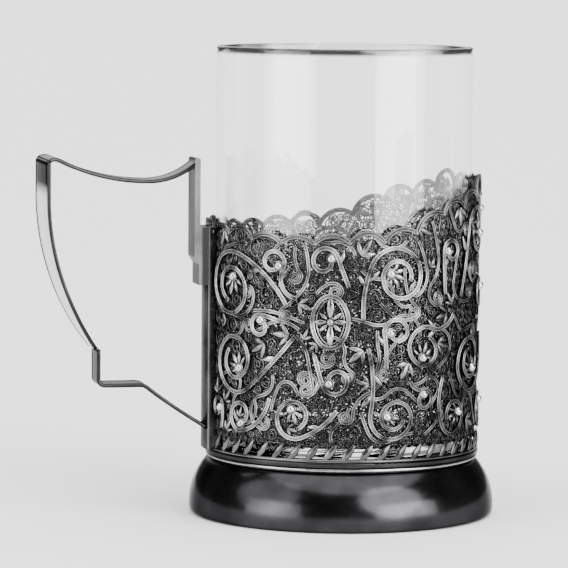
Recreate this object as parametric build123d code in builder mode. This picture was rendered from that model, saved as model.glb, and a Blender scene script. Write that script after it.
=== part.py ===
from build123d import *
import math
import os

# A tea glass in its silver filigree holder, in millimetres.
# The origin is the centre of the foot's resting ring, +Z is up and the handle points to -X.
# Angles round the wall are counted from the handle, through the front (-Y), to the crest (+X).

# Tea glass, a plain straight tumbler
glass_diameter = 67.0
glass_height = 106.4
glass_wall = 1.3
glass_base = 4.6
glass_heel = 3.2
glass_inner_round = 2.0
glass_rim_share = 0.45
glass_gap = 0.5

# Openwork wall, a pierced ground with scrolls of thick wire laid on it
ground_thickness = 0.9
scroll_height = 1.3
scroll_wire = 1.1
scroll_eye = 1.35
granule_radius = 1.2
granule_sink = 0.35
hole_radius = 1.55
hole_web = 1.1
leaf_fatness_share = 0.34
leaf_spread = 38

# Foot, a spun bell with a turned-in resting edge
foot_diameter = 80.4
foot_height = 15.0
foot_thickness = 1.0
foot_band = 3.0
foot_roll = 1.2
foot_seat = 4.0
bell_upright_share = 0.375
bell_slope_share = 0.264
bell_out_share = 0.64

# Floor disc, half-round bead, lower hoop and leaf border
floor_thickness = 1.2
floor_edge = 0.3
bead_height = 1.1
hoop_height = 1.4
hoop_round = 0.4
border_depth = 1.1
border_strip = 0.9
border_leaf_length = 6.0
border_leaf_width = 2.1
border_leaf_slant = 52
border_leaf_count = 46
border_end_angle = 5.0

# Crown, the scalloped upper edge that climbs towards the crest
crown_low = 74.0
crown_rise = 15.8
crown_wire = 1.3
seam_angle = 14.4
stave_count = 6
lobes_per_stave = 2
valley_shares = (0.08, 0.10, 0.04, 0.0, 0.0, 0.02, 0.04, 0.17, 0.46, 0.54, 0.64, 0.69, 0.74)
peak_shares = (0.22, 0.22, 0.13, 0.11, 0.14, 0.18, 0.24, 0.48, 0.68, 0.79, 1.0, 0.97)

# Cartouches, one on each side and one under the crest
cartouche_angle = 71.5
cartouche_level = 53.6
cartouche_width = 10.4
cartouche_height = 14.4
cartouche_petal = 2.8
cartouche_tip = 2.0

# Seam strip and post
strip_height = 1.0
strip_rise = 0.5
strip_round = 0.4
strap_width = 9.0
post_foot = 60.7
post_top = 93.7
post_stand = 1.9
post_thickness = 1.5
post_heel = 0.3
post_waist = 66.0
post_slope = 2.0
post_round = 0.6

# Handle straps, flat, with a raised wire along each edge
strap_thickness = 0.9
edge_wire = 0.9
edge_proud = 0.05
corner_width = 20.4
shoulder_reach = 76.7
shoulder_height = 93.5
shoulder_round = 2.4
shoulder_turn = 75
rest_low_reach = 52.5
rest_low_height = 87.7
rest_drop = 1.1
outer_straight = 9.0
outer_taper = 16.0
step_reach = 65.6
step_lap = 1.0
step_top = 44.8
step_bottom = 34.8
step_round = 1.6
shelf_reach = 54.6
shelf_round = 3.0
arm_slope = 38
arm_end = 23.4

# Scrolls of the front half. Each has the angle and height of its eye, the radius of its rim, where
# on the rim the stem joins, its turning sense, its half turns, the angle and height of the stem's
# tip, and its leaves: how far up the stem each one springs, its side and its length.
scroll_shrink_share = 0.74
scrolls = {
    "upper_volute": [((24.0, 62.4), 8.0, 75, 1, 4, (53.0, 57.4), [(0.55, 1, 4.6)])],
    "lower_volute": [((27.5, 41.6), 7.4, -50, -1, 4, (57.0, 49.8), [(0.40, -1, 4.6)])],
    "leaf_curl": [((47.3, 68.2), 3.0, -30, 1, 2, (57.6, 59.4), [(0.70, -1, 4.3)])],
    "rim_curl": [((69.5, 69.2), 3.2, 20, 1, 2, (79.0, 62.4), [(0.75, -1, 3.4)])],
    "far_volute": [((98.5, 65.4), 7.0, 160, -1, 4, (85.0, 54.0), [(0.70, -1, 4.6), (0.60, 1, 3.6)])],
    "middle_curls": [
        ((73.5, 38.4), 3.2, 200, 1, 2, (65.2, 45.0), [(0.75, -1, 4.0)]),
        ((40.5, 52.2), 2.6, 80, 1, 2, (50.0, 53.4), []),
        ((98.8, 51.0), 3.2, 190, -1, 2, (94.6, 41.5), [(0.70, 1, 3.2)]),
    ],
    "ring_volute": [((113.0, 47.0), 5.0, 70, 1, 3, (129.0, 55.0), [(0.80, 1, 4.0), (0.85, -1, 3.4)])],
    "bottom_curl": [((57.0, 28.3), 4.8, -70, -1, 3, (74.5, 31.0), [(0.50, -1, 3.6)])],
    "double_volute": [
        ((97.0, 29.2), 5.6, 170, 1, 4, (87.0, 47.0), [(0.70, -1, 4.6), (0.40, 1, 4.0)]),
        ((112.2, 33.6), 2.4, 100, -1, 2, (105.5, 38.2), []),
    ],
    "corner_curls": [
        ((30.0, 28.0), 3.6, -80, -1, 2, (45.5, 33.5), [(0.55, -1, 3.2)]),
        ((13.8, 29.5), 2.4, 0, 1, 2, (17.0, 24.2), []),
    ],
    "crest_volute": [
        ((151.0, 75.2), 6.2, 170, -1, 3, (134.0, 59.0), [(0.65, -1, 4.8), (0.65, 1, 4.8)]),
        ((172.0, 80.4), 2.8, 180, -1, 2, (168.0, 71.0), []),
        ((159.0, 59.0), 3.6, 60, 1, 2, (169.5, 57.0), []),
    ],
    "side_volute": [
        ((144.0, 41.2), 7.0, -60, -1, 4, (168.5, 48.0), [(0.35, -1, 3.6), (0.75, -1, 4.0)]),
        ((127.0, 71.0), 2.8, 180, -1, 2, (123.5, 60.0), [(0.60, -1, 3.8)]),
    ],
    "side_curls": [
        ((128.5, 28.3), 4.6, 200, 1, 3, (122.5, 38.8), [(0.60, 1, 3.6)]),
        ((160.0, 28.2), 4.4, -70, -1, 3, (175.0, 33.0), [(0.55, -1, 3.4)]),
    ],
}

overrun = 1.0

# Radii and levels that follow from the sizes above
glass_radius = glass_diameter / 2
wall_inner = glass_radius + glass_gap
ground_outer = wall_inner + ground_thickness
scroll_outer = ground_outer + scroll_height
strip_outer = scroll_outer + strip_height
floor_radius = ground_outer + floor_edge
foot_radius = foot_diameter / 2
floor_top = foot_height + floor_thickness
hoop_top = floor_top + hoop_height
border_top = hoop_top + border_leaf_length * math.sin(math.radians(border_leaf_slant))
glass_top = floor_top + glass_height
wall_top = crown_low + crown_rise
stave_angle = (180 - seam_angle / 2) / stave_count
lobe_angle = stave_angle / lobes_per_stave
wall_plane_share = 0.8

os.makedirs("parts", exist_ok=True)


def save(piece, name):
    """Label a finished piece and write it out."""
    piece.part.label = name
    export_step(piece.part, f"parts/{name}.step")


def outwards(angle):
    """The direction out of the wall at an angle from the handle."""
    return Vector(-1, 0, 0).rotate(Axis.Z, angle)


def wall_plane(angle):
    """A plane behind the wall that faces outwards, its x along the wall and its y up."""
    along = Vector(0, -1, 0).rotate(Axis.Z, angle)
    origin = outwards(angle) * (wall_inner * wall_plane_share)
    return Plane(origin=origin, x_dir=along, z_dir=outwards(angle))


def section_plane(angle):
    """A plane through the axis, its x outwards at the angle and its y up."""
    return Plane(origin=(0, 0, 0), x_dir=outwards(angle), z_dir=outwards(angle).cross(Vector(0, 0, 1)))


def across(radius, angle):
    """How far from the middle of a wall plane a place on the wall lies."""
    return radius * math.sin(math.radians(angle))


def valley(index):
    """The height of the crown between two lobes."""
    return crown_low + crown_rise * valley_shares[index]


def peak(index):
    """The height of a lobe's top."""
    return crown_low + crown_rise * peak_shares[index]


def crown_level(angle):
    """The height of the crown's edge, a shallow curve over each lobe."""
    place = (angle - seam_angle / 2) / lobe_angle
    index = min(max(int(place), 0), len(peak_shares) - 1)
    share = place - index
    ends = valley(index) * (1 - share) + valley(index + 1) * share
    middle = (valley(index) + valley(index + 1)) / 2
    return ends + (peak(index) - middle) * 4 * share * (1 - share)


def ring_wall(inner, outer, low, high):
    """A plain tube round the axis."""
    with BuildPart() as tube:
        with BuildSketch(Plane.XY.offset(low)):
            Circle(outer)
            Circle(inner, mode=Mode.SUBTRACT)
        extrude(amount=high - low)
    return tube


def leaf(base, heading, length, width):
    """A pointed leaf, drawn into the current sketch."""
    tip = Vector(base) + Vector(length, 0).rotate(Axis.Z, heading)
    with BuildLine() as sides:
        SagittaArc(base, tip, width / 2)
        SagittaArc(base, tip, -width / 2)
    make_face(sides.edges())


# The scrolls lie between these two surfaces
scroll_shell = ring_wall(ground_outer, scroll_outer, hoop_top, wall_top + overrun)


def bell_curve(edge):
    """One side of the bell, upright at the band and drawn in to the neck."""
    rise = foot_height - foot_band
    draw_in = foot_radius - floor_radius
    return Bezier(
        (edge, foot_band),
        (edge, foot_band + rise * bell_upright_share),
        (edge - draw_in * (1 - bell_out_share), foot_height - rise * bell_slope_share),
        (edge - draw_in, foot_height),
    )


# Foot, with its resting edge turned in
with BuildPart() as foot_shell:
    with BuildSketch(Plane.XZ):
        with BuildLine():
            band = Line((foot_radius, foot_roll), (foot_radius, foot_band))
            outer_bell = bell_curve(foot_radius)
            inner_bell = bell_curve(foot_radius - foot_thickness)
            Line(outer_bell @ 1, inner_bell @ 1)
            inner_band = Line(inner_bell @ 0, (foot_radius - foot_thickness, foot_thickness))
            ledge = Line(inner_band @ 1, (foot_radius - foot_seat, foot_thickness))
            edge = Line(ledge @ 1, (foot_radius - foot_seat, 0))
            seat = Line(edge @ 1, (foot_radius - foot_roll, 0))
            TangentArc(seat @ 1, band @ 0, tangent=seat % 1)
        make_face()
    revolve(axis=Axis.Z)
save(foot_shell, "foot_shell")

# Floor disc, on the foot's upper edge, with its half-round bead
with BuildPart() as floor_plate:
    with BuildSketch(Plane.XY.offset(foot_height)):
        Circle(floor_radius)
    extrude(amount=floor_thickness)
save(floor_plate, "floor_plate")

with BuildPart() as foot_bead:
    with BuildSketch(Plane.XZ):
        with BuildLine():
            bead_middle = foot_height + floor_thickness / 2
            bead_low = (floor_radius, bead_middle - bead_height / 2)
            bead_high = (floor_radius, bead_middle + bead_height / 2)
            ThreePointArc(bead_low, (floor_radius + bead_height / 2, bead_middle), bead_high)
            Line(bead_high, bead_low)
        make_face()
    revolve(axis=Axis.Z)
save(foot_bead, "foot_bead")

# Lower hoop, which the wall stands on
with BuildPart() as lower_hoop:
    with BuildSketch(Plane.XY.offset(floor_top)):
        Circle(ground_outer + border_depth)
        Circle(wall_inner, mode=Mode.SUBTRACT)
    extrude(amount=hoop_height)
    fillet(lower_hoop.edges().filter_by(GeomType.CIRCLE).sort_by(SortBy.RADIUS)[-2:], hoop_round)
save(lower_hoop, "lower_hoop")

# Seam strip, which closes the wall under the handle
with BuildPart() as seam_strip:
    with BuildSketch(section_plane(-seam_angle / 2)):
        with BuildLine():
            strip_top = valley(0) + strip_rise
            Polyline(
                (wall_inner, hoop_top),
                (strip_outer, hoop_top),
                (strip_outer, strip_top),
                (wall_inner, strip_top),
                close=True,
            )
        make_face()
    revolve(axis=Axis.Z, revolution_arc=seam_angle)
    fillet(seam_strip.edges().filter_by(Axis.Z).sort_by(Axis.X)[:2], strip_round)
save(seam_strip, "seam_strip")

# Leaf border, a strip round the foot of the wall with slanted leaves
with BuildPart() as border_leaf:
    with BuildSketch(wall_plane(0)):
        slant = border_leaf_length * math.cos(math.radians(border_leaf_slant))
        leaf((-slant / 2, hoop_top), border_leaf_slant, border_leaf_length, border_leaf_width)
    extrude(amount=wall_inner)
    border_shell = ring_wall(ground_outer, ground_outer + border_depth, hoop_top, wall_top)
    add(border_shell.part, mode=Mode.INTERSECT)

with BuildPart() as leaf_border:
    with BuildSketch(section_plane(seam_angle / 2)):
        with BuildLine():
            Polyline(
                (ground_outer, hoop_top),
                (ground_outer + border_depth, hoop_top),
                (ground_outer + border_depth, hoop_top + border_strip),
                (ground_outer, hoop_top + border_strip),
                close=True,
            )
        make_face()
    revolve(axis=Axis.Z, revolution_arc=360 - seam_angle)
    first_leaf = seam_angle / 2 + border_end_angle
    with PolarLocations(0, border_leaf_count, first_leaf, 360 - 2 * first_leaf, endpoint=True):
        add(border_leaf.part)
save(leaf_border, "leaf_border")


def ground_stave(index):
    """One pierced stave of the wall's ground, with a lobed upper edge."""
    start = seam_angle / 2 + index * stave_angle
    middle = start + stave_angle / 2
    columns = max(1, round(across(2 * ground_outer, stave_angle / 2) / (2 * hole_radius + hole_web)))
    pitch = stave_angle / columns
    row_pitch = (2 * hole_radius + hole_web) * math.sin(math.radians(60))
    with BuildPart() as stave:
        with BuildSketch(section_plane(start)):
            with BuildLine():
                Polyline(
                    (wall_inner, hoop_top),
                    (ground_outer, hoop_top),
                    (ground_outer, wall_top + overrun),
                    (wall_inner, wall_top + overrun),
                    close=True,
                )
            make_face()
        revolve(axis=Axis.Z, revolution_arc=stave_angle)
        with BuildSketch(wall_plane(middle)):
            with BuildLine():
                side = across(ground_outer, stave_angle / 2)
                first_lobe = index * lobes_per_stave
                left = Line((-side - overrun, valley(first_lobe)), (-side, valley(first_lobe)))
                end = left @ 1
                for lobe in range(first_lobe, first_lobe + lobes_per_stave):
                    lobe_start = seam_angle / 2 + lobe * lobe_angle - middle
                    top = (across(ground_outer, lobe_start + lobe_angle / 2), peak(lobe))
                    foot = (across(ground_outer, lobe_start + lobe_angle), valley(lobe + 1))
                    arc = ThreePointArc(end, top, foot)
                    end = arc @ 1
                above = wall_top + 2 * overrun
                right = end.X + overrun
                Polyline(end, (right, end.Y), (right, above), (-side - overrun, above), left @ 0)
            make_face()
        extrude(amount=ground_outer, mode=Mode.SUBTRACT)
        places = []
        row = 0
        level = border_top + hole_web + hole_radius
        while level < wall_top:
            for column in range(columns + 1 - row % 2):
                angle = start + (column + (row % 2) / 2) * pitch
                if level + hole_radius + hole_web + crown_wire < crown_level(angle):
                    places.append((across(ground_outer, angle - middle), level))
            row += 1
            level += row_pitch
        with BuildSketch(wall_plane(middle)):
            with Locations(*places):
                Circle(hole_radius)
        extrude(amount=ground_outer, mode=Mode.SUBTRACT)
    return stave


for number in range(stave_count):
    front_stave = ground_stave(number)
    save(front_stave, f"ground_stave_front_{number + 1}")
    with BuildPart() as back_stave:
        mirror(front_stave.part, about=Plane.XZ)
    save(back_stave, f"ground_stave_back_{number + 1}")

# Crown wire, bent along the lobes and laid on the staves' upper edge
with BuildPart() as crown_edge:
    for number in range(stave_count):
        middle = seam_angle / 2 + (number + 1 / 2) * stave_angle
        with BuildSketch(wall_plane(middle)):
            for lobe in range(number * lobes_per_stave, (number + 1) * lobes_per_stave):
                lobe_start = seam_angle / 2 + lobe * lobe_angle - middle
                drop = crown_wire / 2
                with BuildLine(mode=Mode.PRIVATE) as lobe_line:
                    ThreePointArc(
                        (across(ground_outer, lobe_start), valley(lobe) - drop),
                        (across(ground_outer, lobe_start + lobe_angle / 2), peak(lobe) - drop),
                        (across(ground_outer, lobe_start + lobe_angle), valley(lobe + 1) - drop),
                    )
                SlotArc(lobe_line.edges()[0], crown_wire)
        extrude(amount=ground_outer)
    add(scroll_shell.part, mode=Mode.INTERSECT)
    add(seam_strip.part, mode=Mode.SUBTRACT)
    split(bisect_by=Plane.XZ, keep=Keep.TOP)
    mirror(about=Plane.XZ)
save(crown_edge, "crown_edge")


def scroll_drawing(eye, radius, join, sense, half_turns, tip, leaves):
    """A spiral scroll with its stem, eye and leaves on a wall plane, and where its granule sits."""
    middle = (eye[0] + tip[0]) / 2
    plane = wall_plane(middle)
    with BuildLine() as path:
        centre = Vector(across(scroll_outer, eye[0] - middle), eye[1])
        start = centre + Vector(radius, 0).rotate(Axis.Z, join)
        heading = Vector(0, sense).rotate(Axis.Z, join)
        stem = TangentArc(start, (across(scroll_outer, tip[0] - middle), tip[1]), tangent=-heading)
        turn = JernArc(start, heading, radius, sense * 180)
        for number in range(1, half_turns):
            turn = JernArc(turn @ 1, turn % 1, radius * scroll_shrink_share**number, sense * 180)
    with BuildSketch(plane) as drawing:
        SlotArc(path.wires()[0], scroll_wire)
        with Locations(turn @ 1):
            Circle(scroll_eye)
        for share, side, length in leaves:
            spring = stem @ (1 - share)
            onward = -(stem % (1 - share))
            slope = math.degrees(math.atan2(onward.Y, onward.X)) + side * leaf_spread
            leaf(spring, slope, length, length * leaf_fatness_share)
    eye_place = turn @ 1
    depth = math.sqrt((scroll_outer - granule_sink) ** 2 - eye_place.X**2)
    seat = outwards(middle) * depth + plane.x_dir * eye_place.X + Vector(0, 0, eye_place.Y)
    return drawing, seat


granule_seats = []
for name, members in scrolls.items():
    with BuildPart() as front_scroll:
        for member in members:
            drawing, seat = scroll_drawing(*member)
            extrude(drawing.sketch, amount=ground_outer)
            granule_seats.append(seat)
        add(scroll_shell.part, mode=Mode.INTERSECT)
    save(front_scroll, f"{name}_front")
    with BuildPart() as back_scroll:
        mirror(front_scroll.part, about=Plane.XZ)
    save(back_scroll, f"{name}_back")

# Granules, small balls soldered on the scrolls' eyes
with BuildPart() as granules_front:
    with Locations(*granule_seats):
        Sphere(granule_radius)
    Cylinder(scroll_outer, 2 * wall_top, mode=Mode.SUBTRACT)
save(granules_front, "granules_front")
with BuildPart() as granules_back:
    mirror(granules_front.part, about=Plane.XZ)
save(granules_back, "granules_back")


def cartouche(angle):
    """An oval frame of wire round a four-petalled rosette, with a leaf tip at each side."""
    half_width = cartouche_width / 2
    half_height = cartouche_height / 2
    with BuildPart() as piece:
        with BuildSketch(wall_plane(angle)):
            with Locations((0, cartouche_level)):
                Ellipse(half_width, half_height)
                Ellipse(half_width - scroll_wire, half_height - scroll_wire, mode=Mode.SUBTRACT)
                Circle(scroll_eye)
            long_petal = cartouche_height - scroll_wire
            short_petal = cartouche_width - scroll_wire
            leaf((0, cartouche_level - long_petal / 2), 90, long_petal, cartouche_petal)
            leaf((-short_petal / 2, cartouche_level), 0, short_petal, cartouche_petal)
            tip_length = cartouche_tip + scroll_wire / 2
            leaf((short_petal / 2, cartouche_level), 0, tip_length, scroll_wire)
            leaf((-short_petal / 2, cartouche_level), 180, tip_length, scroll_wire)
        extrude(amount=ground_outer)
        add(scroll_shell.part, mode=Mode.INTERSECT)
    return piece


cartouche_front = cartouche(cartouche_angle)
save(cartouche_front, "cartouche_front")
with BuildPart() as cartouche_back:
    mirror(cartouche_front.part, about=Plane.XZ)
save(cartouche_back, "cartouche_back")
cartouche_crest = cartouche(180)
save(cartouche_crest, "cartouche_crest")

# Handle. Its side view is drawn on this plane, with x as the reach from the axis.
side_view = Plane(origin=(0, 0, 0), x_dir=(-1, 0, 0), z_dir=(0, 1, 0))
post_inner = strip_outer + post_stand
post_outer = post_inner + post_thickness

# Post, a bar that stands off the seam strip on its own foot
with BuildPart() as handle_post:
    with BuildSketch(side_view):
        with BuildLine():
            Polyline(
                (strip_outer - overrun, post_foot),
                (post_inner + post_heel, post_foot),
                (post_inner + post_heel, post_waist),
                (post_outer, post_waist + post_slope),
                (post_outer, post_top),
                (post_inner, post_top),
                (post_inner, valley(0) + strip_rise),
                (strip_outer - overrun, valley(0) + strip_rise),
                close=True,
            )
        make_face()
    extrude(amount=strap_width / 2, both=True)
    with BuildSketch():
        Circle(strip_outer)
    extrude(amount=post_top, mode=Mode.SUBTRACT)
    fillet(handle_post.edges().filter_by(Axis.Y).sort_by(Axis.Z)[-2:], post_round)
save(handle_post, "handle_post")


def flared_outline(plane, narrow_end, flare_end, wide_end, narrow, wide, inset):
    """A strap's face seen square on, parallel and then drawn in to its narrow end."""
    with BuildSketch(plane) as outline:
        with BuildLine():
            narrow_corner = (narrow_end, narrow / 2 - inset)
            flare = TangentArc((flare_end, wide / 2 - inset), narrow_corner, tangent=(-1, 0))
            Polyline(flare @ 1, (narrow_end, 0), (wide_end, 0), (wide_end, wide / 2 - inset), flare @ 0)
        make_face()
        mirror(about=Plane.XZ)
    return outline


def horn_outline(plane, narrow_end, wide_end, narrow, wide, inset):
    """A strap's face seen square on, opening like a horn from its narrow end."""
    with BuildSketch(plane) as outline:
        with BuildLine():
            narrow_corner = (narrow_end, narrow / 2 - inset)
            side = TangentArc(narrow_corner, (wide_end, wide / 2 - inset), tangent=(1, 0))
            Polyline(side @ 1, (wide_end, 0), (narrow_end, 0), side @ 0)
        make_face()
        mirror(about=Plane.XZ)
    return outline


def parallel_outline(plane, length, width, inset):
    """A strap's face seen square on, the same width all along."""
    with BuildSketch(plane) as outline:
        Rectangle(2 * length, width - 2 * inset)
    return outline


def bent_strap(line, thickness, outline, hollow, neighbours):
    """Metal bent along a line in the side view, trimmed to its outline and to what it is soldered to."""
    with BuildPart() as piece:
        with BuildSketch(side_view):
            SlotArc(line.wires()[0], thickness)
        extrude(amount=corner_width, both=True)
        extrude(outline.sketch, amount=2 * shoulder_reach, mode=Mode.INTERSECT)
        if hollow:
            extrude(hollow.sketch, amount=2 * shoulder_reach, mode=Mode.SUBTRACT)
        for neighbour in neighbours:
            add(neighbour.part, mode=Mode.SUBTRACT)
    return piece


edging_thickness = strap_thickness + 2 * edge_proud
plan_view = Plane(origin=(0, 0, 0), x_dir=(-1, 0, 0), z_dir=(0, 0, 1))
face_view = Plane(origin=(0, 0, 0), x_dir=(0, 0, 1), z_dir=(-1, 0, 0))

# Thumb rest, dipped in the middle and opening towards a rounded shoulder
with BuildLine() as rest_line:
    rise = TangentArc((rest_low_reach, rest_low_height), (shoulder_reach, shoulder_height), tangent=(1, 0))
    shoulder = JernArc(rise @ 1, rise % 1, shoulder_round, -shoulder_turn)
    rest_end = (post_inner + post_thickness / 2, post_top - rest_drop)
    TangentArc((rest_low_reach, rest_low_height), rest_end, tangent=(-1, 0))
corner = shoulder @ 1
rest_ends = (post_inner, corner.X + edging_thickness, strap_width, corner_width)
rest_face = horn_outline(plan_view, *rest_ends, 0)
rest_middle = horn_outline(plan_view, *rest_ends, edge_wire)
thumb_rest = bent_strap(rest_line, strap_thickness, rest_middle, None, [handle_post])
save(thumb_rest, "thumb_rest")
thumb_rest_edging = bent_strap(rest_line, edging_thickness, rest_face, rest_middle, [handle_post])
save(thumb_rest_edging, "thumb_rest_edging")

# Outer strap, a broad tongue from the shoulder down to the step
with BuildLine() as outer_line:
    upright = Line(corner, (corner.X, corner.Y - outer_straight))
    TangentArc(upright @ 1, (step_reach + step_lap, step_top), tangent=upright % 1)
outer_ends = (step_top - edging_thickness, step_top + outer_taper, corner.Y + edging_thickness)
outer_face = flared_outline(face_view, *outer_ends, strap_width, corner_width, 0)
outer_middle = flared_outline(face_view, *outer_ends, strap_width, corner_width, edge_wire)
rest_pieces = [thumb_rest, thumb_rest_edging]
outer_strap = bent_strap(outer_line, strap_thickness, outer_middle, None, rest_pieces)
save(outer_strap, "outer_strap")
outer_strap_edging = bent_strap(outer_line, edging_thickness, outer_face, outer_middle, rest_pieces)
save(outer_strap_edging, "outer_strap_edging")

# Lower strap, a step and a shelf, then an arm sloping back to the seam
with BuildLine() as lower_line:
    drop = Line((step_reach, step_top), (step_reach, step_bottom + step_round))
    heel = JernArc(drop @ 1, drop % 1, step_round, -90)
    shelf = Line(heel @ 1, (shelf_reach, step_bottom))
    bend = JernArc(shelf @ 1, shelf % 1, shelf_round, arm_slope)
    TangentArc(bend @ 1, (strip_outer, arm_end), tangent=bend % 1)
lower_face = parallel_outline(plan_view, shoulder_reach, strap_width, 0)
lower_middle = parallel_outline(plan_view, shoulder_reach, strap_width, edge_wire)
lower_neighbours = [outer_strap, outer_strap_edging, seam_strip]
lower_strap = bent_strap(lower_line, strap_thickness, lower_middle, None, lower_neighbours)
save(lower_strap, "lower_strap")
lower_strap_edging = bent_strap(lower_line, edging_thickness, lower_face, lower_middle, lower_neighbours)
save(lower_strap_edging, "lower_strap_edging")

# Tea glass, standing on the floor disc and free to be lifted out
with BuildPart() as glass:
    with BuildSketch(Plane.XZ) as glass_section:
        with BuildLine():
            Polyline(
                (0, floor_top),
                (glass_radius, floor_top),
                (glass_radius, glass_top),
                (glass_radius - glass_wall, glass_top),
                (glass_radius - glass_wall, floor_top + glass_base),
                (0, floor_top + glass_base),
                close=True,
            )
        make_face()
        fillet(glass_section.vertices().sort_by_distance((glass_radius, floor_top))[:1], glass_heel)
        inner_corner = (glass_radius - glass_wall, floor_top + glass_base)
        fillet(glass_section.vertices().sort_by_distance(inner_corner)[:1], glass_inner_round)
        rim_corners = glass_section.vertices().sort_by(Axis.Y)[-2:]
        fillet(rim_corners, glass_wall * glass_rim_share)
    revolve(axis=Axis.Z)
save(glass, "glass")
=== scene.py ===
import math
import random
import bpy
import bmesh
from mathutils import Matrix, Vector
from mathutils.kdtree import KDTree


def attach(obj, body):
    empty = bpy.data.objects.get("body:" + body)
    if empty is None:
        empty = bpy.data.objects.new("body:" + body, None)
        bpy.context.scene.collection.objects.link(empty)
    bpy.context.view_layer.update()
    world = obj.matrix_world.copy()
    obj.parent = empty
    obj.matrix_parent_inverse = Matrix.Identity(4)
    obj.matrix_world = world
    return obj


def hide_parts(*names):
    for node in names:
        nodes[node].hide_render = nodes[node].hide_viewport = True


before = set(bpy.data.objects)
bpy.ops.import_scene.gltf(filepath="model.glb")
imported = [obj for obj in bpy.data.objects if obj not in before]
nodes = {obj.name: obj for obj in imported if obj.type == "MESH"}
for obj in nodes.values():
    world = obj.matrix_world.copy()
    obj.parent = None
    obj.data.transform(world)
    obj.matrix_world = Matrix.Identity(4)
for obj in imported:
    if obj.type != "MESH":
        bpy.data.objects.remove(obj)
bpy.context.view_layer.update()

# Photographer's table: one wide sheet of pale grey paper, which fills the picture
# behind the object as well, because the camera looks slightly down.
sheet_mesh = bmesh.new()
bmesh.ops.create_grid(sheet_mesh, x_segments=8, y_segments=8, size=40.0)
paper = bpy.data.meshes.new("paper_sheet")
sheet_mesh.to_mesh(paper)
sheet_mesh.free()
paper_sheet = bpy.data.objects.new("paper_sheet", paper)
bpy.context.scene.collection.objects.link(paper_sheet)
paper_finish = bpy.data.materials.new("matt_paper")
paper_finish.use_nodes = True
paper_shader = paper_finish.node_tree.nodes["Principled BSDF"]
paper_shader.inputs["Base Color"].default_value = (0.80, 0.80, 0.80, 1)
paper_shader.inputs["Roughness"].default_value = 0.9
paper.materials.append(paper_finish)

# Studio light: an even pale room, far soft windows that keep the paper evenly bright out to its
# edge, and two low screens. The window from the front right draws the highlight on the foot.
screen_reach = 0.7
screen_height = 0.25
screen_spread = 85
room = bpy.data.worlds.new("studio_room")
room.use_nodes = True
room.node_tree.nodes["Background"].inputs["Color"].default_value = (1.0, 1.0, 1.0, 1)
room.node_tree.nodes["Background"].inputs["Strength"].default_value = 0.30
bpy.context.scene.world = room


def soft_window(name, azimuth, elevation, spread, strength):
    """A far light as wide as its spread; its azimuth is 0 at the front and 90 at the crest's side."""
    lamp = bpy.data.lights.new(name, "SUN")
    lamp.energy = strength
    lamp.angle = math.radians(spread)
    window = bpy.data.objects.new(name, lamp)
    bpy.context.scene.collection.objects.link(window)
    rise = math.radians(elevation)
    turn = math.radians(azimuth)
    towards = Vector((math.sin(turn) * math.cos(rise), -math.cos(turn) * math.cos(rise), math.sin(rise)))
    window.rotation_euler = towards.to_track_quat("Z", "Y").to_euler()


soft_window("overhead_window", 0, 80, 80, 5.6)
soft_window("right_window", 28, 26, 48, 3.9)
soft_window("left_window", -76, 27, 50, 1.7)
soft_window("back_window", 170, 35, 60, 1.4)


def low_screen(name, azimuth, width, power):
    """A low white screen that stands on the paper and shows as an upright band in the glass."""
    lamp = bpy.data.lights.new(name, "AREA")
    lamp.shape = "RECTANGLE"
    lamp.size = width
    lamp.size_y = screen_height
    lamp.spread = math.radians(screen_spread)
    lamp.energy = power
    screen = bpy.data.objects.new(name, lamp)
    bpy.context.scene.collection.objects.link(screen)
    turn = math.radians(azimuth)
    screen.location = (screen_reach * math.sin(turn), -screen_reach * math.cos(turn), screen_height / 2)
    screen.rotation_euler = (math.radians(90), 0, turn)
    screen.visible_camera = False


low_screen("low_right_screen", 38, 0.62, 1.3)
low_screen("low_left_screen", -66, 0.58, 0.8)

# Camera: a long lens about a metre away and a little above the rim. It stands a little to the
# handle's side of the front, and is rolled by half a degree.
eye = Vector((-0.2234, -0.9234, 0.1465))
aim = Vector((-0.0150, 0.0036, 0.0600))
lens = bpy.data.cameras.new("photo_camera")
lens.lens = 230.0
lens.sensor_width = 36.0
lens.clip_start = 0.05
camera = bpy.data.objects.new("photo_camera", lens)
bpy.context.scene.collection.objects.link(camera)
camera.location = eye
level_view = (aim - eye).to_track_quat("-Z", "Y").to_matrix()
camera.rotation_euler = (level_view @ Matrix.Rotation(math.radians(0.47), 3, "Z")).to_euler()
bpy.context.scene.camera = camera

# Foot: a spun bell of heavy sheet with a rolled lower edge, polished. Its near-black colour is partly tarnish
# and partly a painted dark reflection of the room in front of it.
# It is turned from a drawn profile, so it keeps fine lines running round it.
foot_profile = (
    (0.0391, 0.0010), (0.0366, 0.0010), (0.0363, 0.0005), (0.0366, 0.0001), (0.0388, 0.0001),
    (0.0396, 0.0003), (0.0401, 0.0010), (0.0402, 0.0020), (0.0402, 0.0034), (0.03995, 0.0060),
    (0.0392, 0.0088), (0.0380, 0.0114), (0.0364, 0.0137), (0.0352, 0.0149), (0.0343, 0.0149),
    (0.0354, 0.0133), (0.0369, 0.0112), (0.0381, 0.0087), (0.0389, 0.0060), (0.0392, 0.0034),
)


def finish_piece(name, shape):
    """Close a bmesh into a named, smoothly shaded object of the holder or the glass."""
    bmesh.ops.remove_doubles(shape, verts=shape.verts, dist=1e-7)
    bmesh.ops.recalc_face_normals(shape, faces=shape.faces)
    mesh = bpy.data.meshes.new(name)
    shape.to_mesh(mesh)
    shape.free()
    mesh.shade_smooth()
    piece = bpy.data.objects.new(name, mesh)
    bpy.context.scene.collection.objects.link(piece)
    return piece


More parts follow.
